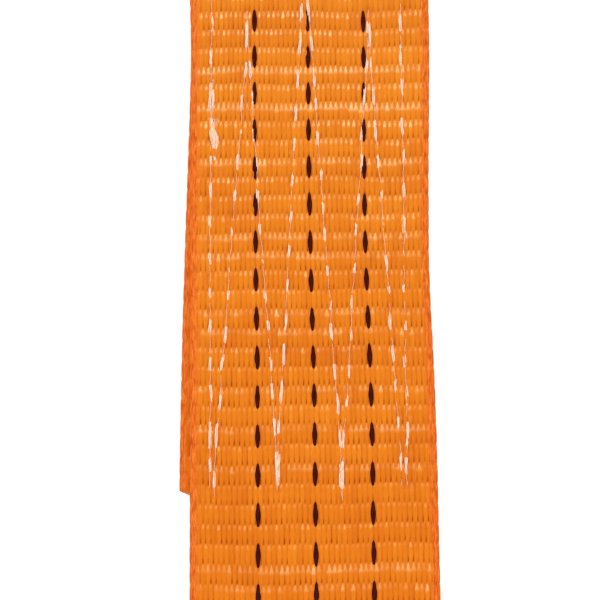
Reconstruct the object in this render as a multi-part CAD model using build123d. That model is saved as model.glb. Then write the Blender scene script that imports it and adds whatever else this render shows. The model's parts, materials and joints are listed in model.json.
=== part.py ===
from build123d import *

import math
import os

# An endless sling: one strip of woven webbing bent into a loop, lapped on itself and sewn.
# Millimetres. The origin is the centre of the top bight, where the sling hangs on its hook.
# +X runs across the webbing, +Z is up, and the sewn lap is on the leg at -Y, facing -Y.

# Webbing
WIDTH = 50.0
THICKNESS = 3.2
SELVEDGE_ROUND = 1.1
INNER_CIRCUMFERENCE = 1000.0

# Bights: the inner radius at the hook above and round the load below
TOP_RADIUS = 25.0
BOTTOM_RADIUS = 45.0

# Lap: the inner ply's cut end is below, and the outer ply's cut end is above
LAP_LENGTH = 136.0
LAP_GAP = 0.3
JOG_LENGTH = 40.0
JOG_BELOW_LAP = 27.0

# What is trimmed off the inner ply's cut end at its left corner: across the webbing, and up it
TRIM = (8.0, 4.9)

# Black tracer yarns, seated in the outer face
TRACER_PLACES = {"left": -11.4, "centre": 0.1, "right": 11.8}
TRACER_WIDTH = 1.1
TRACER_DEPTH = 0.45

# Seam: (across the webbing, up from the inner ply's cut end)
SEAM_START = 3.2
SEAM_HEIGHT = 105.0
ZIGZAG = [
    (-20.0, SEAM_START),
    (-13.0, SEAM_START + SEAM_HEIGHT),
    (-7.1, SEAM_START + 1.3),
    (-0.5, SEAM_START + SEAM_HEIGHT + 20.0),
    (6.2, SEAM_START - 0.9),
    (13.1, SEAM_START + SEAM_HEIGHT),
    (18.5, SEAM_START + 2.0),
]
SIDE_TOP = LAP_LENGTH - 5.0
LEFT_SIDE = [(-21.2, SEAM_START + 2.0), (-21.0, SIDE_TOP)]
RIGHT_SIDE = [(19.7, SEAM_START + 2.0), (20.9, SIDE_TOP)]
BACK_TACK = [(-19.9, SEAM_START + 72.0), (-19.9, SEAM_START + 87.0)]
THREAD = 1.0
STITCH_PITCH = 7.4
TACK_PITCH = 5.0
THREAD_PROUD = 0.25

# Label: a blank doubled tape, trapped between the plies at the lap's lower end
LABEL_WIDTH = 36.0
LABEL_LENGTH = 58.0
LABEL_THICKNESS = 0.8
LABEL_TRAPPED = 14.0
LABEL_HINGE_BELOW_LAP = 1.3
LABEL_STUB_BELOW_LAP = 0.6
LABEL_OFF_PLY = 0.95
HEM_INSET = 3.0
HEM_THREAD = 0.5
HEM_PITCH = 3.4


def centre_distance():
    """Between the two bights, so that the loop's inner line has its stated length."""
    distance = INNER_CIRCUMFERENCE / 2
    for _ in range(20):
        taper = math.asin((BOTTOM_RADIUS - TOP_RADIUS) / distance)
        bights = TOP_RADIUS * (math.pi - 2 * taper) + BOTTOM_RADIUS * (math.pi + 2 * taper)
        distance = (INNER_CIRCUMFERENCE - bights) / 2 / math.cos(taper)
    return distance


CENTRES = centre_distance()
TAPER = math.asin((BOTTOM_RADIUS - TOP_RADIUS) / CENTRES)
LEG = CENTRES * math.cos(TAPER)
LAP_FOOT = (LEG - LAP_LENGTH) / 2
PLY_SHIFT = THICKNESS + LAP_GAP

# The sewn leg: its inner face's lowest point, the way up it, and the way out of its face
UP = Vector(0, math.sin(TAPER), math.cos(TAPER))
OUT = Vector(0, -math.cos(TAPER), math.sin(TAPER))
LEG_FOOT = Vector(0, 0, -CENTRES) + OUT * BOTTOM_RADIUS
LAP_ORIGIN = LEG_FOOT + UP * LAP_FOOT


class Pen:
    """Draws one side of the strip in the YZ plane, as lines and arcs at an offset from its path."""

    def __init__(self, start, heading, offset):
        self.point, self.heading, self.offset, self.edges = start, heading, offset, []

    def forward(self):
        return Vector(math.cos(self.heading), math.sin(self.heading))

    def left(self):
        return Vector(-math.sin(self.heading), math.cos(self.heading))

    def place(self):
        return self.point + self.left() * self.offset

    def straight(self, length):
        began = self.place()
        self.point = self.point + self.forward() * length
        self.edges.append(Line(began, self.place()))

    def turn(self, radius, angle):
        """A bend of the path to the left, or to the right for a negative angle."""
        side = 1 if angle > 0 else -1
        centre = self.point + self.left() * (radius * side)
        places = [self.place()]
        for _ in range(2):
            self.heading += angle / 2
            self.point = centre - self.left() * (radius * side)
            places.append(self.place())
        self.edges.append(ThreePointArc(*places))


def draw_strip(pen):
    """The whole path, from the inner ply's cut end round the loop to the outer ply's."""
    jog_half = 2 * math.atan(PLY_SHIFT / JOG_LENGTH)
    jog_radius = JOG_LENGTH / 2 / math.sin(jog_half)
    pen.straight(LEG - LAP_FOOT)
    pen.turn(TOP_RADIUS, 2 * TAPER - math.pi)
    pen.straight(LEG)
    pen.turn(BOTTOM_RADIUS, -2 * TAPER - math.pi)
    pen.straight(LAP_FOOT - JOG_BELOW_LAP - JOG_LENGTH)
    pen.turn(jog_radius, jog_half)
    pen.turn(jog_radius, -jog_half)
    pen.straight(JOG_BELOW_LAP + LAP_LENGTH)
    return pen


def strip_band(low, high, width, across=0.0):
    """The strip's layer from low to high above its inner face, as a solid of that width."""
    start = Vector(LAP_ORIGIN.Y, LAP_ORIGIN.Z)
    inner = draw_strip(Pen(start, math.pi / 2 - TAPER, low))
    outer = draw_strip(Pen(start, math.pi / 2 - TAPER, high))
    foot = Line(inner.edges[0] @ 0, outer.edges[0] @ 0)
    head = Line(inner.edges[-1] @ 1, outer.edges[-1] @ 1)
    face = make_face([*inner.edges, *outer.edges, foot, head])
    profile = Plane.YZ.offset(across) * face
    return extrude(profile, amount=width / 2, both=True)


def lap_place(across, up, out):
    """A point of the lap: across it, up from its foot, and out from the inner ply's inner face."""
    return LAP_ORIGIN + Vector(across, 0, 0) + UP * up + OUT * out


def lap_plane(across, up, out):
    """A plane on the lap, with x across it, y up it and z out of it."""
    return Plane(lap_place(across, up, out), x_dir=(1, 0, 0), z_dir=OUT)


def tracer_yarn(across):
    """A tracer's run along the whole strip, flush with the outer face but for the label's pocket."""
    yarn = strip_band(THICKNESS - TRACER_DEPTH, THICKNESS, TRACER_WIDTH, across)
    return yarn - label_pocket()


def label_stub():
    """The trapped end of the label, a little below the inner ply's cut end."""
    height = LABEL_TRAPPED + LABEL_STUB_BELOW_LAP
    place = lap_plane(0, (LABEL_TRAPPED - LABEL_STUB_BELOW_LAP) / 2, PLY_SHIFT - LABEL_THICKNESS / 2)
    return place * Box(LABEL_WIDTH, height, LABEL_THICKNESS)


def label_pocket():
    """What the trapped label presses into the inner ply."""
    depth = LABEL_THICKNESS - LAP_GAP
    place = lap_plane(0, LABEL_TRAPPED / 2 - 1, THICKNESS - depth / 2)
    return place * Box(LABEL_WIDTH, LABEL_TRAPPED + 2, depth)


def trimmed_corner():
    """The wedge that is missing from the inner ply's lower left corner."""
    wide, tall = TRIM
    left = -WIDTH / 2
    beyond = 2.0
    corners = [
        (left - beyond, tall + beyond * tall / wide),
        (left - beyond, -beyond),
        (left + wide + beyond * wide / tall, -beyond),
    ]
    face = lap_plane(0, 0, THICKNESS + LAP_GAP / 2) * make_face(Polyline(*corners, close=True))
    return extrude(face, amount=THICKNESS + LAP_GAP, dir=-OUT)


def webbing_loop(tracers):
    """The strip with its rounded selvedges, the tracers' seats, the label's pocket and the trim."""
    loop = strip_band(0, THICKNESS, WIDTH)
    rims = [e for e in loop.edges() if abs(abs(e.center().X) - WIDTH / 2) < 0.01]
    loop = fillet(rims, SELVEDGE_ROUND)
    return loop - tracers - label_pocket() - trimmed_corner()


def staple(length, depth, thickness):
    """One stitch: a run of thread along X with a leg down into the cloth at each end."""
    half = length / 2
    bend = thickness * 0.8
    corners = [(-half, 0, -depth), (-half, 0, 0), (half, 0, 0), (half, 0, -depth)]
    path = FilletPolyline(*corners, radius=bend)
    return sweep(Plane(path @ 0, z_dir=path % 0) * Circle(thickness / 2), path)


def stitches(points, pitch, thickness, depth, to_plane):
    """Stitches end to end along a run of straight legs, on the face that to_plane gives."""
    made = []
    for start, end in zip(points, points[1:]):
        across, up = end[0] - start[0], end[1] - start[1]
        count = round(math.hypot(across, up) / pitch)
        stitch = staple(math.hypot(across, up) / count - thickness * 1.1, depth, thickness)
        angle = math.degrees(math.atan2(up, across))
        for i in range(count):
            share = (i + 0.5) / count
            place = to_plane(start[0] + across * share, start[1] + up * share)
            made.append(place.location * Rot(0, 0, angle) * stitch)
    return Compound(children=made)


def needle_plane(across, up):
    """The outer ply's face, where the needle thread lies."""
    return lap_plane(across, up, PLY_SHIFT + THICKNESS + THREAD_PROUD)


def bobbin_plane(across, up):
    """The inner ply's face, where the bobbin thread lies, looking into the loop."""
    return Plane(lap_place(across, up, -THREAD_PROUD), x_dir=(1, 0, 0), z_dir=-OUT)


def mirrored(points):
    """The same run seen from the bobbin's side, whose y runs down the lap."""
    return [(across, -up) for across, up in points]


def needle_thread(points, pitch=STITCH_PITCH):
    depth = (PLY_SHIFT + THICKNESS) / 2 + THREAD_PROUD
    return stitches(points, pitch, THREAD, depth, needle_plane)


def bobbin_thread(points, pitch=STITCH_PITCH):
    depth = (PLY_SHIFT + THICKNESS) / 2 + THREAD_PROUD
    return stitches(mirrored(points), pitch, THREAD, depth, lambda x, y: bobbin_plane(x, -y))


HINGE = lap_place(0, -LABEL_HINGE_BELOW_LAP, PLY_SHIFT - LABEL_OFF_PLY)


def label_leaf():
    """The hanging part of the label, straight down from its fold, which is round."""
    fold = Plane(HINGE, x_dir=(0, 1, 0), z_dir=(1, 0, 0)) * Circle(LABEL_THICKNESS / 2)
    fold = extrude(fold, amount=LABEL_WIDTH / 2, both=True)
    leaf = Pos(HINGE - Vector(0, 0, LABEL_LENGTH / 2)) * Box(LABEL_WIDTH, LABEL_THICKNESS, LABEL_LENGTH)
    corners = leaf.edges().filter_by(Axis.Y).group_by(Axis.Z)[0]
    return fold + fillet(corners, 3.0)


def hem_plane(side):
    """A face of the leaf: side is -1 for the one at the sewn ply, and 1 for the other."""
    lift = Vector(0, side * (LABEL_THICKNESS / 2 + HEM_THREAD * 0.1), 0)
    return lambda x, y: Plane(HINGE + lift + Vector(x, 0, -y), x_dir=(1, 0, 0), z_dir=(0, side, 0))


def label_hem_thread():
    """The stitching round the leaf, on both its faces."""
    edge = LABEL_WIDTH / 2 - HEM_INSET
    low = LABEL_LENGTH - HEM_INSET
    run = [(-edge, HEM_INSET), (-edge, low), (edge, low), (edge, HEM_INSET), (-edge, HEM_INSET)]
    depth = LABEL_THICKNESS / 2 + HEM_THREAD * 0.1
    front = stitches(run, HEM_PITCH, HEM_THREAD, depth, hem_plane(-1))
    rear = stitches(run, HEM_PITCH, HEM_THREAD, depth, hem_plane(1))
    return Compound(children=[*front.children, *rear.children])


def build():
    tracers = {f"tracer_yarn_{side}": tracer_yarn(place) for side, place in TRACER_PLACES.items()}
    return {
        "webbing_loop": webbing_loop(list(tracers.values())),
        **tracers,
        "zigzag_needle_thread": needle_thread(ZIGZAG),
        "zigzag_bobbin_thread": bobbin_thread(ZIGZAG),
        "left_side_needle_thread": needle_thread(LEFT_SIDE),
        "left_side_bobbin_thread": bobbin_thread(LEFT_SIDE),
        "right_side_needle_thread": needle_thread(RIGHT_SIDE),
        "right_side_bobbin_thread": bobbin_thread(RIGHT_SIDE),
        "left_back_tack_thread": needle_thread(BACK_TACK, TACK_PITCH),
        "label_stub": label_stub(),
        "label_leaf": label_leaf(),
        "label_hem_thread": label_hem_thread(),
    }


os.makedirs("parts", exist_ok=True)
for name, solid in build().items():
    export_step(solid, f"parts/{name}.step")
print("centre distance", round(CENTRES, 3), "taper", round(math.degrees(TAPER), 3))
print("label hinge", [round(v, 3) for v in HINGE])
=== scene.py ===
import json
import math

import bpy
import numpy as np
from mathutils import Matrix, Vector


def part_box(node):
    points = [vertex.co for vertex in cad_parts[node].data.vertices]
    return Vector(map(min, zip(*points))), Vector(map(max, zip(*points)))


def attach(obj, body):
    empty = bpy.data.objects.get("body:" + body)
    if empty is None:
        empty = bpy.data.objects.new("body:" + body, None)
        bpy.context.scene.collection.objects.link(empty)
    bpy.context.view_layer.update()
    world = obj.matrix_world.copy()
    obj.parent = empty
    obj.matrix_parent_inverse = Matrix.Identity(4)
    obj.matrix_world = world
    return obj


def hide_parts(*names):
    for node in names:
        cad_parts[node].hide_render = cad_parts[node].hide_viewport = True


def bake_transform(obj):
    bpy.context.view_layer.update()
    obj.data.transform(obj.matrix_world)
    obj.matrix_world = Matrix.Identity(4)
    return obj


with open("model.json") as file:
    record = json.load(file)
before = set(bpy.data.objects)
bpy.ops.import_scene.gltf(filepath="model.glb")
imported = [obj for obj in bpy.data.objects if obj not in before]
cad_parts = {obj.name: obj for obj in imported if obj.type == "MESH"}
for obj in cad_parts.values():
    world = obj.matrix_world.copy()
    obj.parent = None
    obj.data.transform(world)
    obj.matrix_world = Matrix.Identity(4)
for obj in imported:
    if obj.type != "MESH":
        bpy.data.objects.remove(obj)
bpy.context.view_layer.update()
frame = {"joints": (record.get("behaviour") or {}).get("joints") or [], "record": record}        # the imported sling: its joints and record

MM = 0.001

# ---------------------------------------------------------------- the strip's run, from the frame

MOUNTS = {m["name"]: m for m in frame["record"]["mounts"]}
TOP_RADIUS = MOUNTS["top_bight"]["dims"]["r_mm"]
BOTTOM_RADIUS = MOUNTS["bottom_bight"]["dims"]["r_mm"]
CENTRES = -MOUNTS["bottom_bight"]["pos_m"][2] / MM
LOOP_LOW, LOOP_HIGH = (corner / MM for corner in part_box("webbing_loop"))
WIDTH = LOOP_HIGH.x - LOOP_LOW.x
THICKNESS = LOOP_HIGH.z - TOP_RADIUS
TAPER = math.asin((BOTTOM_RADIUS - TOP_RADIUS) / CENTRES)
LEG = CENTRES * math.cos(TAPER)
LAP_GAP = 0.3
PLY_SHIFT = THICKNESS + LAP_GAP
JOG_LENGTH = 40.0
JOG_BELOW_LAP = 27.0

# The sewn leg in the YZ plane: the way up it, out of its face, and where its bottom bight ends
UP = np.array([math.sin(TAPER), math.cos(TAPER)])
OUT = np.array([-math.cos(TAPER), math.sin(TAPER)])
LEG_FOOT = np.array([0.0, -CENTRES]) + OUT * BOTTOM_RADIUS
HINGE = np.array(frame["joints"][0]["pos_m"]) / MM
HINGE_BELOW_LAP = 1.3
LAP_FOOT = float((HINGE[1:] - LEG_FOOT) @ UP) + HINGE_BELOW_LAP
LAP = LEG - 2 * LAP_FOOT


def strip_segments():
    """(length, curvature) of each stretch of the strip's inner face, from the inner ply's cut end."""
    half = 2 * math.atan(PLY_SHIFT / JOG_LENGTH)
    jog = JOG_LENGTH / 2 / math.sin(half)
    return [
        (LEG - LAP_FOOT, 0.0),
        (TOP_RADIUS * (math.pi - 2 * TAPER), -1 / TOP_RADIUS),
        (LEG, 0.0),
        (BOTTOM_RADIUS * (math.pi + 2 * TAPER), -1 / BOTTOM_RADIUS),
        (LAP_FOOT - JOG_BELOW_LAP - JOG_LENGTH, 0.0),
        (jog * half, 1 / jog),
        (jog * half, -1 / jog),
        (JOG_BELOW_LAP + LAP, 0.0),
    ]


SEGMENTS = strip_segments()
STRIP_LENGTH = sum(length for length, _ in SEGMENTS)
OUTER_FOOT = STRIP_LENGTH - LAP


def strip_line(s):
    """The inner face's points and outward normals in the YZ plane, at distances s along the strip."""
    s = np.asarray(s, float)
    point, normal = np.zeros(s.shape + (2,)), np.zeros(s.shape + (2,))
    at, heading, began = LEG_FOOT + UP * LAP_FOOT, math.pi / 2 - TAPER, 0.0
    for index, (length, bend) in enumerate(SEGMENTS):
        last = index == len(SEGMENTS) - 1
        here = (s >= began) if last else (s >= began) & (s < began + length)
        here |= (index == 0) & (s < 0)
        along = s[here] - began
        turned = heading + along * bend
        left = np.array([-math.sin(heading), math.cos(heading)])
        ahead = np.array([math.cos(heading), math.sin(heading)])
        out = np.stack([-np.sin(turned), np.cos(turned)], -1)
        if bend:
            point[here] = at + left / bend - out / bend
            at = at + left / bend
            heading += length * bend
            at = at - np.array([-math.sin(heading), math.cos(heading)]) / bend
        else:
            point[here] = at + along[:, None] * ahead
            at = at + length * ahead
        normal[here] = out
        began += length
    return point, normal


def strip_place(s, across, height):
    """Points in the row frame, in metres: across the strip, and height above its inner face."""
    s, across, height = np.broadcast_arrays(s, across, height)
    point, normal = strip_line(s)
    place = point + normal * height[..., None]
    return np.concatenate([across[..., None], place], -1) * MM


# ---------------------------------------------------------------- the weave

ROW = 4.09
YARN = 1.05
YARN_OFFSET = 0.3
TRACER_SPACING = 11
FLOAT_RISE = 0.33
YARN_DEPTH = 0.36
YARN_SPREAD = 0.56
PLATEAU = 2.1
ROW_SAG = 0.35
FACE_EDGE = WIDTH / 2 - 1.2
FIRST_DASH = 7.95
ROWS_BELOW_LAP = int(OUTER_FOOT / ROW) + 4
ROWS = int(STRIP_LENGTH / ROW) + 8
YARNS = int(WIDTH / YARN) + 6
RANDOM = np.random.default_rng(20)
FLOAT_TONE = RANDOM.normal(0, 1, (ROWS, 2 * YARNS))
FLOAT_LIFT = RANDOM.normal(0, 1, (ROWS, 2 * YARNS))
YARN_TONE = RANDOM.normal(0, 1, 2 * YARNS)
ROW_TONE = RANDOM.normal(0, 1, ROWS)
YARN_SWAY = RANDOM.uniform(0, 2 * math.pi, (2 * YARNS, 3))


def ease(x, low, high):
    """0 below low, 1 above high, and smooth between them."""
    t = np.clip((np.asarray(x, float) - low) / (high - low), 0, 1)
    return t * t * (3 - 2 * t)


def bump(x, middle, reach):
    """1 at the middle, falling away to nothing a few reaches from it."""
    return np.exp(-(((x - middle) / reach) ** 2))


def row_phase(s, across):
    """The weave's phase, in rows: whole and even at the middle of a tracer's dash on the outer face."""
    sway = 0.16 * np.sin(across / 7.3 + s / 61.0) + 0.10 * np.sin(across / 3.1 + s / 23.0)
    sway = sway + 0.12 * np.sin(across / 4.6 - s / 8.0)
    sag = ROW_SAG * (1 - (across / (WIDTH / 2)) ** 2)
    return (s - OUTER_FOOT - FIRST_DASH + sway + sag) / ROW


def yarn_rise(phase):
    """The height of the first set of yarns' middle line; the second set's is its opposite."""
    return FLOAT_RISE * np.tanh(PLATEAU * np.cos(math.pi * phase)) / math.tanh(PLATEAU)


def row_index(phase):
    """The row that each phase is nearest to, counted from the strip's start."""
    return np.clip(np.round(phase).astype(int) + ROWS_BELOW_LAP, 0, ROWS - 2)


def yarn_drift(s, yarn):
    """How far a yarn wanders sideways along its run."""
    sway = YARN_SWAY[yarn]
    return 0.035 * np.sin(s / 17.0 + sway[..., 0]) + 0.02 * np.sin(s / 5.3 + sway[..., 1])


def paint_slit_shade(round_top, up_float, row, yarn):
    """Painted shade in the slit beside a float: darkest near the float's lower end."""
    slit = np.clip(-round_top / 0.38, 0, 1) ** 1.6
    slit = slit * (0.2 + 1.1 * bump(up_float, -0.36, 0.17) + 0.35 * bump(up_float, 0.3, 0.15))
    return slit * np.clip(0.8 + 0.3 * FLOAT_TONE[row, yarn - 1], 0.3, 1.4)


def paint_end_highlight(s, off_middle, up_float, row, yarn):
    """Painted highlight on a float's upper end, where the yarn tilts up to the light: a tooth that points up
    the strip, brighter up the lap.
    """
    point = 0.36 * np.clip((0.60 - up_float) / 0.42, 0, 1)
    # the painted highlight grows stronger up the lap, where the light falls more strongly
    highlight_up_lap = ease(s, OUTER_FOOT + 35, OUTER_FOOT + 95)
    base = 0.30 - 0.13 * highlight_up_lap - 0.05 * ROW_TONE[row + 1] - 0.03 * FLOAT_TONE[row, yarn]
    strength = 0.36 + 0.78 * highlight_up_lap + (0.12 + 0.16 * highlight_up_lap) * ROW_TONE[row + 1]
    strength = strength + 0.38 * FLOAT_TONE[row, yarn]
    end = ease(up_float, base - 0.05, base + 0.07) * ease(point - off_middle, 0, 0.12)
    end = np.maximum(end, 0.5 * bump(up_float, base, 0.07) * np.clip(ROW_TONE[row + 1], 0, 1))
    return end * np.clip(strength, 0.12, 1.7)


def weave(s, across, side):
    """Height of the woven face about its mean, and what each point's yarn is like there: its tone, how dark
    the painted shade is in the slit between two yarns, and how strong the painted highlight is on its
    float's upper end.
    side is 1 on the outer face and -1 on the inner one."""
    s, across = np.broadcast_arrays(s, across)
    phase = row_phase(s, across)
    rise = yarn_rise(phase) * side
    row = row_index(phase)
    best = np.full(s.shape, -9.0)
    tone, groove, painted_end_highlight = (np.zeros(s.shape) for _ in range(3))
    for which in (0, 1):
        place = (across - YARN_OFFSET) / YARN - 0.5 * which
        index = np.round(place).astype(int)
        yarn = np.clip(2 * (index + YARNS // 2) + which, 0, 2 * YARNS - 1)
        off_middle = np.abs((place - index) * YARN - yarn_drift(s, yarn))
        middle = rise if which == 0 else -rise
        middle = middle * (1 + 0.06 * FLOAT_LIFT[row, yarn]) + 0.012 * FLOAT_LIFT[row, yarn]
        up_float = (phase - which - (side < 0) + 1) % 2 - 1
        depth = YARN_DEPTH * (0.6 + 0.4 * ease(-up_float, -0.3, 0.1))
        round_top = np.sqrt(np.clip(1 - (off_middle / (YARN_SPREAD * YARN)) ** 3, 0.02, 1)) - 1
        height = middle + depth * round_top
        above = height > best
        own = 0.6 * FLOAT_TONE[row, yarn] + 0.35 * YARN_TONE[yarn] + 0.3 * ROW_TONE[row]
        best = np.where(above, height, best)
        tone = np.where(above, own, tone)
        # painted shade in the slit between yarns
        groove = np.where(above, paint_slit_shade(round_top, up_float, row, yarn), groove)
        # painted highlight on the upper end of the float
        painted_end_highlight = np.where(above, paint_end_highlight(s, off_middle, up_float, row, yarn), painted_end_highlight)
    return best, tone, groove, painted_end_highlight


# ---------------------------------------------------------------- the seam

SEAM_START = 3.2
SEAM_HEIGHT = 105.0
ZIGZAG = [
    (-20.0, SEAM_START),
    (-13.0, SEAM_START + SEAM_HEIGHT),
    (-7.1, SEAM_START + 1.3),
    (-0.5, SEAM_START + SEAM_HEIGHT + 20.0),
    (6.2, SEAM_START - 0.9),
    (13.1, SEAM_START + SEAM_HEIGHT),
    (18.5, SEAM_START + 2.0),
]
SIDE_TOP = LAP - 5.0
LEFT_SIDE = [(-21.0, SEAM_START + 2.0), (-20.6, SIDE_TOP)]
RIGHT_SIDE = [(19.6, SEAM_START + 2.0), (20.3, SIDE_TOP)]
TAIL = 9.0


def with_tails(run):
    """The run with each of its corners sewn as a short upright tail, out to the corner and back."""
    made = []
    for index, (across, up) in enumerate(run):
        back = up + (TAIL if index % 2 == 0 else -TAIL)
        made += [(across - 0.2, back), (across, up), (across + 0.25, back)]
    return made[1:-1]


NEST = [[(-20.0 + 0.1 * x, 74.6), (-20.2 + x, 84.8)] for x in np.linspace(-1.1, 1.1, 9)]
BACK_TACKS = NEST + [[(-20.6 + x, 84.6), (-20.5 + 0.7 * x, 93.0)] for x in (-0.3, 0.0, 0.3)]
STITCH = 7.4


def seam_stitches(points):
    """The start and end of each stitch of a seam, as points across and up the lap."""
    made = []
    for start, end in zip(points, points[1:]):
        start, end = np.array(start), np.array(end)
        run = end - start
        count = round(float(np.linalg.norm(run)) / STITCH)
        made += [(start + run * i / count, start + run * (i + 1) / count) for i in range(count)]
    return made


ALL_STITCHES = seam_stitches(ZIGZAG) + seam_stitches(LEFT_SIDE) + seam_stitches(RIGHT_SIDE)


def seam_pull(up, across):
    """How far the stitches pull the sewn ply's face in, at points up and across the lap."""
    up, across = np.broadcast_arrays(up, across)
    pull = np.zeros(up.shape)
    for start, end in ALL_STITCHES:
        low, high = sorted((start[1], end[1]))
        near = (up > low - 3) & (up < high + 3) & (np.abs(across - (start[0] + end[0]) / 2) < 4)
        if not near.any():
            continue
        u, v = across[near], up[near]
        run = end - start
        along = np.clip(((u - start[0]) * run[0] + (v - start[1]) * run[1]) / (run @ run), 0, 1)
        off = np.hypot(u - start[0] - along * run[0], v - start[1] - along * run[1])
        groove = 0.16 * np.exp(-((off / 0.75) ** 2)) * (0.5 + np.abs(2 * along - 1))
        hole = sum(0.30 * np.exp(-(((u - p[0]) ** 2 + (v - p[1]) ** 2) / 0.9**2)) for p in (start, end))
        pull[near] = np.maximum(pull[near], groove + hole)
    return pull


# ---------------------------------------------------------------- how the plies lie

OUTER_LEFT = -25.1
OUTER_RIGHT = 25.6
SPREAD_AT_FOOT = 0.35
SPREAD_AT_HEAD = 0.65
DRAWN_IN = 0.45
YARN_LEAN = 0.85
INNER_SKEW = 2.5
INNER_SPREAD = 0.03


def ply_across(s, across):
    """Where each yarn really lies: the seam draws the outer ply in, and the inner ply is sewn on askew."""
    up = s - OUTER_FOOT
    right = OUTER_RIGHT + SPREAD_AT_FOOT * (1 - ease(up, 5, 55)) - DRAWN_IN * bump(up, 52, 18)
    right = right + SPREAD_AT_HEAD * ease(up, 70, 105)
    outer = OUTER_LEFT + (across + WIDTH / 2) * (right - OUTER_LEFT) / WIDTH
    outer = outer - YARN_LEAN * ease(up, 30, 110) * np.clip(1 - ((across - 4) / 21) ** 2, 0, 1)
    settled = ease(up, -90, -40)
    outer = across + (outer - across) * settled
    spread = 1 + INNER_SPREAD * (ease(s, 80, 130) - ease(s, 140, 200))
    askew = INNER_SKEW * (1 - np.clip(s / 100, 0, 1) ** 1.6)
    inner = across * spread - askew
    return np.where(s < STRIP_LENGTH / 2, inner, outer)


def ply_lift(s, across):
    """Long, slight waves out of the strip's plane."""
    wave = 0.10 * np.sin(s / 19.0 + across / 9.0) + 0.06 * np.sin(s / 7.7 - across / 6.0)
    return wave * (0.3 + 0.7 * (np.abs(across) / (WIDTH / 2)) ** 2)


# ---------------------------------------------------------------- meshes


def mesh_piece(name, points, faces, material, **values):
    """A mesh from an array of points and a list of arrays of faces, with point attributes."""
    mesh = bpy.data.meshes.new(name)
    mesh.vertices.add(len(points))
    mesh.vertices.foreach_set("co", np.asarray(points, np.float32).ravel())
    sizes = np.concatenate([np.full(len(f), f.shape[1]) for f in faces])
    corners = np.concatenate([f.ravel() for f in faces])
    mesh.loops.add(len(corners))
    mesh.loops.foreach_set("vertex_index", corners.astype(np.int32))
    mesh.polygons.add(len(sizes))
    starts = np.concatenate([[0], np.cumsum(sizes)[:-1]])
    mesh.polygons.foreach_set("loop_start", starts.astype(np.int32))
    mesh.update(calc_edges=True)
    mesh.validate()
    mesh.polygons.foreach_set("use_smooth", np.ones(len(mesh.polygons), bool))
    for key, value in values.items():
        vector = value.ndim == 2
        layer = mesh.attributes.new(key, "FLOAT_VECTOR" if vector else "FLOAT", "POINT")
        layer.data.foreach_set("vector" if vector else "value", value.astype(np.float32).ravel())
    mesh.materials.append(material)
    piece = bpy.data.objects.new(name, mesh)
    bpy.context.scene.collection.objects.link(piece)
    return piece


def ring_faces(rows, columns):
    """Quads of a tube of rows rings, each of columns points, and a cap at each end."""
    i, j = np.meshgrid(np.arange(rows - 1), np.arange(columns), indexing="ij")
    k = (j + 1) % columns
    quads = np.stack([i * columns + j, i * columns + k, (i + 1) * columns + k, (i + 1) * columns + j], -1)
    first = np.arange(columns)[::-1][None, :]
    last = (rows - 1) * columns + np.arange(columns)[None, :]
    return [quads.reshape(-1, 4), first, last]


TRIM = (11.5, 5.1)
CUT_STEPS = np.array([0.0, 0.06, 0.2, 0.45, 0.8])
CUT_ROUNDING = 0.9


def trim(across):
    """How much of the inner ply's cut end is missing at each place across it."""
    return np.clip(TRIM[1] * (1 - (across + WIDTH / 2) / TRIM[0]), 0, None)


def face_columns(step):
    """Places across one face, on the yarns' own spacing."""
    count = int((FACE_EDGE - 0.2) / step)
    return YARN_OFFSET + step * np.arange(-count, count + 1)


def section_line(outer_step, inner_step, rim_steps):
    """Once round the strip's section: places across, heights, outward normals, and which face each is on.
    The last value is the place across that the weave has there, which runs on round each selvedge."""
    outer, inner = face_columns(outer_step), face_columns(inner_step)[::-1]
    half = THICKNESS / 2
    turn = np.linspace(math.pi / 2, -math.pi / 2, rim_steps + 2)[1:-1]
    parts = []
    for side, faces in ((1, outer), (-1, inner)):
        level = np.full(faces.shape, side * half)
        parts.append((faces, level, 0 * faces, 0 * faces + side, 0 * faces + side, faces))
        rim = turn if side == 1 else -turn
        woven = side * (FACE_EDGE + (math.pi / 2 - rim) * half * 0.8)
        parts.append(
            (
                side * (FACE_EDGE + (WIDTH / 2 - FACE_EDGE) * np.cos(rim)),
                half * np.sin(rim),
                side * np.cos(rim),
                np.sin(rim),
                np.clip(2 * np.sin(rim), -1, 1),
                woven,
            )
        )
    return [np.concatenate(values) for values in zip(*parts)]


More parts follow.
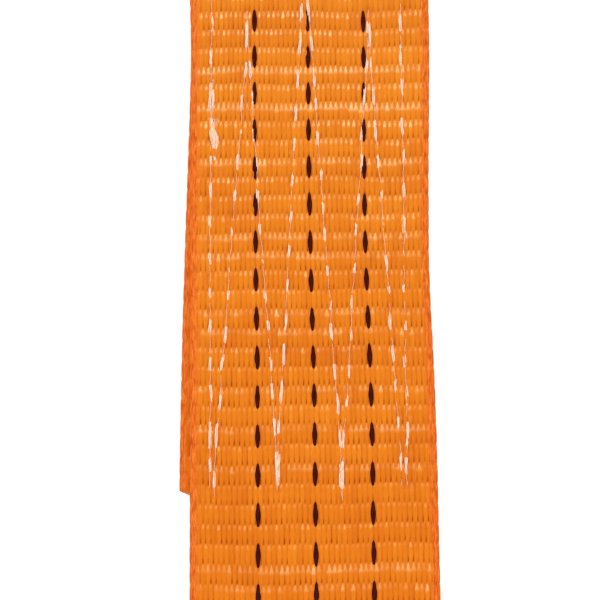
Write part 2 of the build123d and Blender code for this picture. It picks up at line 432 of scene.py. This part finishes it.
def strip_grid(s, section):
    """Points of the strip's surface, in metres, and what each point's yarn is like there."""
    across, level, normal_u, normal_h, face, woven = (v[None, :] for v in section)
    inner = s[:, None] < STRIP_LENGTH / 2
    s = s[:, None] + np.where(inner, trim(across) * (1 - ease(s[:, None], 0, 14)), 0)
    height, tone, groove, painted_end_highlight = weave(s, woven, np.where(face >= 0, 1, -1))
    height = 0.05 + (height - FLOAT_RISE) * (0.3 + 0.7 * np.abs(face) ** 2)
    flat = np.abs(face) > 0.99
    up = s - np.where(face > 0, OUTER_FOOT, 0)
    height = height - np.where(flat & (up > -3) & (up < LAP + 3), seam_pull(up, across), 0)
    edge = ease(np.abs(across), FACE_EDGE - 0.9, FACE_EDGE + 0.2)
    melt = ease(np.minimum(s - trim(across), STRIP_LENGTH - s), 0.0, 2.0)
    height = height * (0.25 + 0.75 * melt)
    thin = np.sqrt(np.clip(1 - (1 - np.minimum(melt_run(s, across), 1)) ** 2, 0.02, 1))
    lift = ply_lift(s, across)
    u = ply_across(s, across + normal_u * height)
    h = THICKNESS / 2 + (level + normal_h * height) * thin + lift
    shape = np.broadcast_shapes(u.shape, h.shape)
    # values for the shader: painted shade in the slits between yarns, and a painted highlight on the floats'
    # upper ends
    values = dict(tone=tone, groove=groove * melt, painted_end_highlight=painted_end_highlight * melt * (1 - edge), selvedge=edge)
    values = {key: np.broadcast_to(value, shape) for key, value in values.items()}
    values["strip"] = np.stack(np.broadcast_arrays(woven, s, face * 3.0), -1)
    return strip_place(s, u, h), values


def melt_run(s, across):
    """Distance from the nearer cut end, as a share of how far that end is rounded over."""
    from_start = s - trim(across) * (s < TRIM[1] * 4)
    return np.minimum(from_start, STRIP_LENGTH - s) / CUT_ROUNDING


def grid_normals(points):
    """Outward normals of a grid of rings, from its points before and after each."""
    along = np.gradient(points, axis=0)
    around = np.roll(points, -1, axis=1) - np.roll(points, 1, axis=1)
    normal = np.cross(around, along)
    return normal / np.maximum(np.linalg.norm(normal, axis=-1, keepdims=True), 1e-12)


def webbing(name, start, end, per_row, columns, material):
    """A stretch of the strip with both its woven faces, as one closed piece."""
    count = max(3, round((end - start) / ROW * per_row) + 1)
    s = np.linspace(start, end, count)
    step = s[1] - s[0]
    first_cut, last_cut = start == 0, end == STRIP_LENGTH
    if first_cut:
        s = np.concatenate([start + CUT_STEPS, s[s > start + CUT_STEPS[-1] + 0.1]])
    if last_cut:
        s = np.concatenate([s[s < end - CUT_STEPS[-1] - 0.1], end - CUT_STEPS[::-1]])
    section = section_line(*columns)
    before = [] if first_cut else [s[0] - step]
    after = [] if last_cut else [s[-1] + step]
    points, values = strip_grid(np.concatenate([before, s, after]), section)
    normals = grid_normals(points)
    keep = slice(len(before), len(before) + len(s))
    points, normals = points[keep], normals[keep]
    values = {key: value[keep].reshape(-1, *value.shape[2:]) for key, value in values.items()}
    piece = mesh_piece(name, points.reshape(-1, 3), ring_faces(*points.shape[:2]), material, **values)
    piece.data.normals_split_custom_set_from_vertices(normals.reshape(-1, 3))
    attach(piece, "sling")
    return piece


def tube_points(line, normal, section):
    """Rings round a line: section(i) gives each ring's points as (side, up) offsets from it."""
    ahead = np.gradient(line, axis=0)
    ahead /= np.linalg.norm(ahead, axis=1)[:, None]
    side = np.cross(normal, ahead)
    side /= np.linalg.norm(side, axis=1)[:, None]
    rise = np.cross(ahead, side)
    return line[:, None, :] + section[..., :1] * side[:, None, :] + section[..., 1:] * rise[:, None, :]


def round_section(count, radius, sides):
    """The same circle for each of count rings, for tube_points."""
    angle = np.linspace(0, 2 * math.pi, sides, endpoint=False)[None, :]
    return np.stack([np.cos(angle), np.sin(angle)], -1) * np.full((count, 1, 1), radius * MM)


# ---------------------------------------------------------------- materials


class Tree:
    """A material's nodes, made one at a time and joined by name."""

    def __init__(self, name):
        self.material = bpy.data.materials.new(name)
        self.material.use_nodes = True
        self.nodes, self.links = self.material.node_tree.nodes, self.material.node_tree.links
        self.shader = self.nodes["Principled BSDF"]

    def add(self, kind, links=None, inputs=None, **settings):
        node = self.nodes.new(kind)
        for key, value in settings.items():
            setattr(node, key, value)
        for key, value in (inputs or {}).items():
            node.inputs[key].default_value = value
        for key, value in (links or {}).items():
            self.links.new(value, node.inputs[key])
        return node

    def attribute(self, name):
        return self.add("ShaderNodeAttribute", attribute_name=name)

    def math(self, first, second, operation="ADD"):
        node = self.add("ShaderNodeMath", operation=operation)
        for index, value in enumerate((first, second)):
            if isinstance(value, (int, float)):
                node.inputs[index].default_value = value
            else:
                self.links.new(value, node.inputs[index])
        return node.outputs[0]

    def noise(self, vector, scale, detail=2.0, rough=0.5, stretch=(1, 1, 1)):
        mapped = self.add("ShaderNodeMapping", {"Vector": vector}, {"Scale": stretch})
        return self.add(
            "ShaderNodeTexNoise",
            {"Vector": mapped.outputs[0]},
            {"Scale": scale, "Detail": detail, "Roughness": rough},
        ).outputs["Fac"]

    def ramp(self, fac, stops):
        node = self.add("ShaderNodeValToRGB", {"Fac": fac})
        ramp = node.color_ramp
        while len(ramp.elements) < len(stops):
            ramp.elements.new(0.5)
        for element, (place, colour) in zip(ramp.elements, stops):
            element.position, element.color = place, (*colour, 1)
        return node.outputs["Color"]

    def mix(self, fac, first, second):
        node = self.add("ShaderNodeMix", data_type="RGBA")
        for key, value in ((0, fac), (6, first), (7, second)):
            if isinstance(value, tuple):
                node.inputs[key].default_value = (*value, 1)
            else:
                self.links.new(value, node.inputs[key])
        return node.outputs[2]

    def finish(self, colour, bump=None, strength=0.5, distance=0.05, **values):
        self.links.new(colour, self.shader.inputs["Base Color"])
        for key, value in values.items():
            self.shader.inputs[key.replace("_", " ")].default_value = value
        if bump is not None:
            node = self.add(
                "ShaderNodeBump", {"Height": bump}, {"Strength": strength, "Distance": distance * MM}
            )
            self.links.new(node.outputs[0], self.shader.inputs["Normal"])
        return self.material


def webbing_material():
    """Orange polyester: tone by float, filaments along each yarn, painted shade (redder and darker) between
    yarns, painted highlights on the floats' upper ends, and painted light that turns paler and yellower up
    the lap.
    """
    tree = Tree("orange_polyester_webbing")
    strip = tree.attribute("strip").outputs["Vector"]
    tone = tree.attribute("tone").outputs["Fac"]
    # painted shade in the slits between yarns
    groove = tree.attribute("groove").outputs["Fac"]
    # painted highlight on the floats' upper ends
    painted_end_highlight = tree.attribute("painted_end_highlight").outputs["Fac"]
    edge = tree.attribute("selvedge").outputs["Fac"]
    cloud = tree.noise(strip, 0.07, 3.0)
    filament = tree.noise(strip, 1.0, 3.0, 0.65, (4.5, 0.5, 1.0))
    shade = tree.math(tree.math(tone, 0.10, "MULTIPLY"), 0.5)
    shade = tree.math(shade, tree.math(tree.math(cloud, 0.5, "SUBTRACT"), 0.6, "MULTIPLY"))
    shade = tree.math(shade, tree.math(tree.math(filament, 0.5, "SUBTRACT"), 0.9, "MULTIPLY"))
    colour = tree.ramp(
        shade,
        [
            (0.0, (0.55, 0.090, 0.002)),
            (0.45, (0.655, 0.147, 0.003)),
            (0.75, (0.72, 0.185, 0.006)),
            (1.0, (0.80, 0.250, 0.018)),
        ],
    )
    # painted shade: darker and redder in the slits between yarns
    colour = tree.mix(tree.math(groove, 0.75, "MULTIPLY"), colour, (0.36, 0.042, 0.001))
    patch = tree.ramp(tree.noise(strip, 0.045, 2.0), [(0.3, (0.25, 0.25, 0.25)), (0.7, (1, 1, 1))])
    specks = tree.noise(strip, 1.0, 2.0, 0.6, (4.0, 1.2, 1.0))
    speckle = tree.ramp(specks, [(0.35, (0.4, 0.4, 0.4)), (0.6, (1, 1, 1))])
    # the painted highlight on the floats' upper ends, broken into patches and fine specks along the
    # filaments
    painted_highlight = tree.math(tree.math(painted_end_highlight, patch, "MULTIPLY"), tree.math(speckle, 0.95, "MULTIPLY"), "MULTIPLY")
    # painted light: the colour turns paler and yellower up the lap, where the light falls more strongly
    along = tree.add("ShaderNodeSeparateXYZ", {"Vector": strip}).outputs["Y"]
    painted_light_up_lap = tree.add(
        "ShaderNodeMapRange", {"Value": along}, {"From Min": OUTER_FOOT - 20, "From Max": OUTER_FOOT + 110}
    ).outputs["Result"]
    colour = tree.mix(tree.math(painted_light_up_lap, 0.14, "MULTIPLY"), colour, (0.78, 0.36, 0.03))
    # mix in the painted highlight, a pale peach
    colour = tree.mix(painted_highlight, colour, (0.95, 0.54, 0.25))
    lengthwise = tree.noise(strip, 1.0, 3.0, 0.7, (2.2, 0.38, 1.0))
    selvedge = tree.ramp(lengthwise, [(0.36, (0.50, 0.055, 0.004)), (0.62, (0.84, 0.205, 0.034))])
    colour = tree.mix(tree.math(edge, 0.85, "MULTIPLY"), colour, selvedge)
    matt = tree.math(1.0, edge, "SUBTRACT")
    shine = tree.math(tree.math(groove, -0.27, "MULTIPLY"), 0.3)
    tree.links.new(tree.math(matt, shine, "MULTIPLY"), tree.shader.inputs["Specular IOR Level"])
    tree.links.new(tree.math(matt, 0.05, "MULTIPLY"), tree.shader.inputs["Sheen Weight"])
    return tree.finish(
        colour,
        filament,
        strength=0.7,
        distance=0.06,
        Roughness=0.38,
        Specular_Tint=(1.0, 0.70, 0.30, 1),
        Sheen_Roughness=0.4,
        Sheen_Tint=(1.0, 0.55, 0.25, 1),
    )


def yarn_material(name, dark, light, rough=0.6, shine=0.12):
    """A dyed or bare yarn, streaked along its filaments."""
    tree = Tree(name)
    strip = tree.attribute("strip").outputs["Vector"]
    streak = tree.noise(strip, 1.0, 3.0, 0.6, (7.0, 0.6, 7.0))
    colour = tree.ramp(streak, [(0.38, dark), (0.6, light)])
    return tree.finish(
        colour, streak, strength=0.5, distance=0.04, Roughness=rough, Specular_IOR_Level=shine
    )


def label_material():
    """Blue coated tape: a fine rib across it, a paler woven border, and slight scuffs."""
    tree = Tree("blue_label_tape")
    strip = tree.attribute("strip").outputs["Vector"]
    edge = tree.attribute("selvedge").outputs["Fac"]
    rib = tree.add(
        "ShaderNodeTexWave", {"Vector": strip}, {"Scale": 0.9, "Distortion": 0.4}, bands_direction="Y"
    )
    scuff = tree.noise(strip, 0.12, 4.0, 0.65)
    colour = tree.ramp(scuff, [(0.3, (0.020, 0.110, 0.38)), (0.7, (0.040, 0.165, 0.48))])
    colour = tree.mix(tree.math(edge, 0.5, "MULTIPLY"), colour, (0.14, 0.34, 0.66))
    ribs = rib.outputs["Fac"]
    return tree.finish(colour, ribs, strength=0.35, distance=0.06, Roughness=0.45, Sheen_Weight=0.1)


def floor_material():
    """Plain and pale, as bright as the studio's own light."""
    tree = Tree("pale_floor")
    place = tree.add("ShaderNodeTexCoord").outputs["Object"]
    mottle = tree.noise(place, 3.0)
    colour = tree.ramp(mottle, [(0.3, (0.90, 0.90, 0.895)), (0.7, (0.915, 0.915, 0.91))])
    return tree.finish(colour, Roughness=0.8)


# ---------------------------------------------------------------- pieces

ORANGE = webbing_material()
BLACK = yarn_material("black_tracer_yarn", (0.026, 0.002, 0.002), (0.070, 0.009, 0.005), 0.8, 0.03)
WHITE = yarn_material("white_sewing_thread", (0.80, 0.35, 0.18), (0.98, 0.84, 0.69), 0.4)
BLUE = label_material()
PALE_BLUE = yarn_material("pale_blue_thread", (0.10, 0.26, 0.55), (0.20, 0.40, 0.72))


PLAIN_STEPS = (YARN / 4, YARN / 4, 12)
FINE_STEPS = (YARN / 6, YARN / 2, 22)


def build_webbing():
    """The strip in nine stretches, finer on the outer ply's outer face, where the seam is."""
    fine_start = OUTER_FOOT - JOG_BELOW_LAP
    names = (
        "webbing_inner_ply",
        "webbing_top_bight",
        "webbing_rear_leg_upper",
        "webbing_rear_leg_lower",
        "webbing_bottom_bight",
        "webbing_front_leg_foot",
    )
    pieces = [
        webbing(name, fine_start * i / len(names), fine_start * (i + 1) / len(names), 5, PLAIN_STEPS, ORANGE)
        for i, name in enumerate(names)
    ]
    cuts = np.linspace(fine_start, STRIP_LENGTH, 4)
    for name, start, end in zip(("foot", "middle", "head"), cuts[:-1], cuts[1:]):
        webbing(f"webbing_outer_ply_{name}", start, end, 12, FINE_STEPS, ORANGE)
    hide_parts("webbing_loop")


def build_tracer(side, yarn):
    """One black warp yarn, on the crown of its own floats on both faces."""
    node = f"tracer_yarn_{side}"
    s = np.linspace(0.6, STRIP_LENGTH - 0.6, int(STRIP_LENGTH / ROW * 8))
    across = YARN_OFFSET + yarn * YARN
    index = 2 * (yarn + YARNS // 2)
    centre = across + yarn_drift(s, index)
    phase = row_phase(s, np.full(s.shape, across))
    row = row_index(phase)
    points, faces, strips = [], [], []
    sides = 10
    angle = np.linspace(0, 2 * math.pi, sides, endpoint=False)[None, :]
    for face in (1, -1):
        off_crown = np.abs((phase - (0 if face == 1 else 1) + 1) % 2 - 1)
        rise = yarn_rise(0.72 * off_crown) * (1 + 0.06 * FLOAT_LIFT[row, index])
        height = THICKNESS / 2 + 0.05 + rise - FLOAT_RISE - 0.17
        if face == 1:
            height = height - seam_pull(s - OUTER_FOOT, np.full(s.shape, across))
        place_u = ply_across(s, centre)
        lift = ply_lift(s, centre)
        line = strip_place(s, place_u, THICKNESS / 2 + face * height + lift)
        above = strip_place(s, place_u, THICKNESS / 2 + face * height + lift + face)
        normal = above - line
        wide = 0.05 + 0.53 * np.clip(1 - (off_crown / 0.78) ** 1.5, 0, 1)
        section = np.stack([wide[:, None] * np.cos(angle), (0.10 + 0.4 * wide[:, None]) * np.sin(angle)], -1)
        ring = tube_points(line, normal, section * MM)
        shift = sum(len(p) for p in points)
        points.append(ring.reshape(-1, 3))
        faces += [f + shift for f in ring_faces(len(s), sides)]
        turn = np.broadcast_to(angle / 2, (len(s), sides))
        strips.append(np.stack([turn, np.broadcast_to(s[:, None], turn.shape), turn], -1).reshape(-1, 3))
    strip = np.concatenate(strips)
    piece = mesh_piece(node + "_woven", np.concatenate(points), faces, BLACK, strip=strip)
    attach(piece, "sling")
    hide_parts(node)


def stitch_line(start, end, random):
    """One stitch's middle line: across, up the lap, and above the face; low at both its ends."""
    length = float(np.linalg.norm(end - start))
    share = np.arange(0, 1, 0.25 / length)
    q = 2 * share - 1
    middle = random.uniform(-0.2, 0.2)
    sunk = bump(start[1], 54, 30)
    top = random.uniform(-0.12, 0.2) - 0.15 * sunk
    drop = random.uniform(0.8, 2.4) + 0.8 * sunk
    height = top - drop * (q - middle) ** 2 - 6 * np.clip(np.abs(q) - 0.8, 0, 1) ** 1.2
    height += 0.05 * np.sin(share * length * 2 * math.pi / ROW + random.uniform(0, 6))
    lean = random.uniform(-0.25, 0.25) * np.sin(math.pi * share)
    place = start[None, :] + (end - start)[None, :] * share[:, None]
    return np.stack([place[:, 0] + lean, place[:, 1], height], -1)


STRANDS = 5
STRAND_RADIUS = 0.12


def strand_rings(line, face, strand, random):
    """One strand of a twisted thread, as rings round its own line."""
    travelled = np.concatenate([[0], np.cumsum(np.linalg.norm(np.diff(line, axis=0), axis=1))])
    turn = 2 * math.pi * (travelled / 11.0 + strand / STRANDS)
    spread = 0.20 * (1 + 0.3 * np.sin(travelled / 2.3 + 2 * strand + random.uniform(0, 6)))
    across = line[:, 0] + spread * np.cos(turn) * (0.3 if strand == 0 else 1)
    height = line[:, 2] + 0.55 * spread * np.sin(turn)
    if strand == 0:
        stray = -0.16 + 0.07 * np.sin(travelled / 0.9 + random.uniform(0, 6)) * np.sin(travelled / 4.3)
        height = np.maximum(height, stray)
    if face == 1:
        s = line[:, 1] + OUTER_FOOT
        base = THICKNESS + height
    else:
        s = line[:, 1]
        base = -height
    base = base + ply_lift(s, across)
    path = strip_place(s, across, base)
    above = strip_place(s, across, base + face)
    radius = STRAND_RADIUS * (0.35 if strand == 0 else 1)
    section = round_section(len(s), radius, 5)
    return tube_points(path, above - path, section), travelled


def build_thread(node, runs, face, seed):
    """A seam's twisted thread on one face, in as many passes as there are runs."""
    random = np.random.default_rng(seed)
    points, faces, strips, shift = [], [], [], 0
    for run in runs:
        stitches = [stitch_line(start, end, random) for start, end in seam_stitches(run)]
        line = np.concatenate(stitches)
        for strand in range(STRANDS):
            ring, travelled = strand_rings(line, face, strand, random)
            points.append(ring.reshape(-1, 3))
            faces += [f + shift for f in ring_faces(*ring.shape[:2])]
            shift += ring.shape[0] * ring.shape[1]
            turn = np.broadcast_to(np.arange(ring.shape[1])[None, :] * 0.3 + strand, ring.shape[:2])
            along = np.broadcast_to(travelled[:, None], turn.shape)
            strips.append(np.stack([turn, along, turn], -1).reshape(-1, 3))
    strip = np.concatenate(strips)
    piece = mesh_piece(node + "_sewn", np.concatenate(points), faces, WHITE, strip=strip)
    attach(piece, "sling")
    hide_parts(node)


# ---------------------------------------------------------------- the label

LABEL_LOW, LABEL_HIGH = (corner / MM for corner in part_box("label_leaf"))
LABEL_WIDTH = LABEL_HIGH.x - LABEL_LOW.x
LABEL_LENGTH = HINGE[2] - LABEL_LOW.z
LABEL_TRAPPED = 14.0
LABEL_HALF = 0.36
LABEL_CURL = 2.5
HEM_INSET = 3.0
HEM_STITCH = 3.4
HEM_RADIUS = 0.17


def label_path():
    """The label's middle line in the YZ plane, at even steps: down between the plies, and over the fold."""
    lap = LEG_FOOT + UP * LAP_FOOT
    stub = PLY_SHIFT - LABEL_HALF - 0.04
    corners = [
        lap + UP * LABEL_TRAPPED + OUT * stub,
        lap + UP * 0.6 + OUT * stub,
        HINGE[1:],
        HINGE[1:] + np.array([0, -LABEL_LENGTH]),
    ]
    reach = np.concatenate([[0], np.cumsum([np.linalg.norm(b - a) for a, b in zip(corners, corners[1:])])])
    steps = np.linspace(0, reach[-1], 300)
    line = np.stack([np.interp(steps, reach, [c[i] for c in corners]) for i in (0, 1)], -1)
    for _ in range(12):
        line[1:-1] = 0.25 * line[:-2] + 0.5 * line[1:-1] + 0.25 * line[2:]
    down = np.clip((steps - reach[2]) / LABEL_LENGTH, 0, 1)
    line[:, 0] += LABEL_CURL * down**2.2
    return steps, line, reach[2]


LABEL_STEPS, LABEL_LINE, LABEL_FOLD = label_path()


def label_place(across, along, height):
    """Points on the label: across it, along it from its trapped end, and out of its face into the loop."""
    across, along, height = np.broadcast_arrays(across, along, height)
    ahead = np.gradient(LABEL_LINE, axis=0)
    ahead /= np.linalg.norm(ahead, axis=1)[:, None]
    place = [np.interp(along, LABEL_STEPS, LABEL_LINE[:, i]) for i in (0, 1)]
    turn = [np.interp(along, LABEL_STEPS, ahead[:, i]) for i in (0, 1)]
    wave = 0.10 * np.sin(across / 5.0 + along / 9.0) * ease(along, LABEL_FOLD, LABEL_FOLD + 12)
    height = height + wave
    return np.stack([across, place[0] - turn[1] * height, place[1] + turn[0] * height], -1) * MM


def build_label():
    """The tape, trapped in the lap at one end and free at the other, in one blended piece."""
    along = np.linspace(0, LABEL_STEPS[-1], 150)
    half = LABEL_WIDTH / 2 - 0.3
    face = np.linspace(-half, half, 61)
    turn = np.linspace(math.pi / 2, -math.pi / 2, 7)[1:-1]
    across = np.concatenate([face, half + 0.3 * np.cos(turn), face[::-1], -half - 0.3 * np.cos(turn)])
    level = np.concatenate([face * 0 + 1, np.sin(turn), face * 0 - 1, -np.sin(turn)]) * LABEL_HALF
    corner = np.clip(1 - (LABEL_STEPS[-1] - along) / 3.0, 0, 1)
    narrow = 3.0 * (1 - np.sqrt(1 - np.minimum(corner, 0.999) ** 2))
    hem = 0.05 * np.exp(-(((np.abs(across) - LABEL_WIDTH / 2 + HEM_INSET) / 0.5) ** 2))
    u = across[None, :] * (1 - narrow / (LABEL_WIDTH / 2))[:, None]
    h = level[None, :] - np.sign(level) * hem[None, :]
    h = h * np.where(along > LABEL_STEPS[-1] - 0.3, 0.5, 1)[:, None]
    points = label_place(u, along[:, None], h)
    strip = np.stack(np.broadcast_arrays(u, along[:, None], level[None, :] * 4), -1)
    border = ease(np.abs(u), LABEL_WIDTH / 2 - 1.6, LABEL_WIDTH / 2 - 1.1)
    points = points[:, ::-1]
    piece = mesh_piece(
        "label_tape",
        points.reshape(-1, 3),
        ring_faces(*points.shape[:2]),
        BLUE,
        strip=strip[:, ::-1].reshape(-1, 3),
        selvedge=border[:, ::-1].ravel(),
    )
    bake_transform(piece)
    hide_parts("label_stub", "label_leaf")
    hem = build_hem()


def build_hem():
    """The stitching round the label's free part, as a thread on each of its faces."""
    edge, top = LABEL_WIDTH / 2 - HEM_INSET, LABEL_FOLD + HEM_INSET
    low = LABEL_STEPS[-1] - HEM_INSET
    run = [np.array(p) for p in [(-edge, top), (-edge, low), (edge, low), (edge, top), (-edge, top)]]
    points, faces, strips, shift = [], [], [], 0
    for side in (1, -1):
        line = []
        for start, end in zip(run, run[1:]):
            length = np.linalg.norm(end - start)
            share = np.arange(0, 1, 0.2 / length)
            count = round(length / HEM_STITCH)
            rise = LABEL_HALF + 0.16 - 0.75 * np.abs(2 * ((share * count) % 1) - 1) ** 3
            place = start[None, :] + (end - start)[None, :] * share[:, None]
            line.append(np.stack([place[:, 0], place[:, 1], rise], -1))
        line = np.concatenate(line)
        path = label_place(line[:, 0], line[:, 1], side * line[:, 2])
        above = label_place(line[:, 0], line[:, 1], side * (line[:, 2] + 1))
        ring = tube_points(path, above - path, round_section(len(line), HEM_RADIUS, 6))
        points.append(ring.reshape(-1, 3))
        faces += [f + shift for f in ring_faces(*ring.shape[:2])]
        shift += ring.shape[0] * ring.shape[1]
        strips.append(np.repeat(line, ring.shape[1], axis=0))
    strip = np.concatenate(strips)
    piece = mesh_piece("label_hem_stitches", np.concatenate(points), faces, PALE_BLUE, strip=strip)
    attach(piece, "label")
    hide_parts("label_hem_thread")
    return piece


# ---------------------------------------------------------------- stage, light and camera


FLOOR_HALF = 6.0
FLOOR_BELOW_LOOP = 0.06


def build_stage():
    """A plain floor a little below the hanging loop."""
    mesh = bpy.data.meshes.new("floor")
    level = LOOP_LOW.z * MM - FLOOR_BELOW_LOOP
    corners = [(x * FLOOR_HALF, y * FLOOR_HALF, level) for x, y in ((-1, -1), (1, -1), (1, 1), (-1, 1))]
    mesh.from_pydata(corners, [], [(0, 1, 2, 3)])
    mesh.materials.append(floor_material())
    floor = bpy.data.objects.new("floor", mesh)
    bpy.context.scene.collection.objects.link(floor)


def area_light(name, place, target, size, power):
    """A white square light that faces its target."""
    data = bpy.data.lights.new(name, "AREA")
    data.size, data.energy = size, power
    light = bpy.data.objects.new(name, data)
    light.location = place
    light.rotation_euler = (Vector(target) - Vector(place)).to_track_quat("-Z", "Y").to_euler()
    bpy.context.scene.collection.objects.link(light)


CAMERA_TILT = math.radians(12.0)
CAMERA_ROLL = math.radians(0.5)
CAMERA_DISTANCE = 0.427
CAMERA_LENS = 122.5
CAMERA_LEFT = 0.0021
CAMERA_AIM_UP_LAP = 44.3
LIGHT_AIM_UP_LAP = 60


def lap_point(up):
    """A point at mid width on the outer ply's outer face, in metres."""
    place = strip_place(np.array(OUTER_FOOT + up), 0.0, THICKNESS)
    return Vector([float(v) for v in place])


def build_camera():
    """The photo's view: square to the lap but from a little below, and rolled very slightly."""
    data = bpy.data.cameras.new("camera")
    data.lens, data.sensor_width = CAMERA_LENS, 36.0
    data.clip_start, data.clip_end = 0.01, 100.0
    camera = bpy.data.objects.new("camera", data)
    pitch = CAMERA_TILT - TAPER
    ahead = Vector((0, math.cos(pitch), math.sin(pitch)))
    up = Vector((0, -math.sin(pitch), math.cos(pitch)))
    right = Vector((1, 0, 0))
    up, right = (
        up * math.cos(CAMERA_ROLL) + right * math.sin(CAMERA_ROLL),
        right * math.cos(CAMERA_ROLL) - up * math.sin(CAMERA_ROLL),
    )
    place = lap_point(CAMERA_AIM_UP_LAP) - ahead * CAMERA_DISTANCE - right * CAMERA_LEFT
    turn = Matrix((right, up, -ahead)).transposed().to_4x4()
    camera.matrix_world = Matrix.Translation(place) @ turn
    bpy.context.scene.collection.objects.link(camera)
    bpy.context.scene.camera = camera


def build_light():
    """Even white light all round, with a soft key above the lap and a fill behind."""
    world = bpy.data.worlds.new("studio")
    world.use_nodes = True
    background = world.node_tree.nodes["Background"]
    background.inputs["Color"].default_value = (1, 1, 1, 1)
    background.inputs["Strength"].default_value = 1.07
    bpy.context.scene.world = world
    aim = lap_point(LIGHT_AIM_UP_LAP)
    area_light("key_high", aim + Vector((-0.25, -1.0, 1.0)), aim, 0.35, 5.6)
    area_light("fill_back", aim + Vector((0.7, 1.3, 0.6)), aim, 0.8, 5.0)
    view = bpy.context.scene.view_settings
    view.view_transform = "Standard"
    view.look = "None"


build_camera()
build_webbing()
for tracer, yarns_off_middle in (("left", -TRACER_SPACING), ("centre", 0), ("right", TRACER_SPACING)):
    build_tracer(tracer, yarns_off_middle)
build_thread("zigzag_needle_thread", [with_tails(ZIGZAG)], 1, 3)
build_thread("left_side_needle_thread", [LEFT_SIDE], 1, 4)
build_thread("right_side_needle_thread", [RIGHT_SIDE], 1, 5)
build_thread("zigzag_bobbin_thread", [with_tails(ZIGZAG)], -1, 6)
build_thread("left_side_bobbin_thread", [LEFT_SIDE], -1, 7)
build_thread("right_side_bobbin_thread", [RIGHT_SIDE], -1, 8)
build_thread("left_back_tack_thread", BACK_TACKS, 1, 9)
build_label()
build_stage()
build_light()
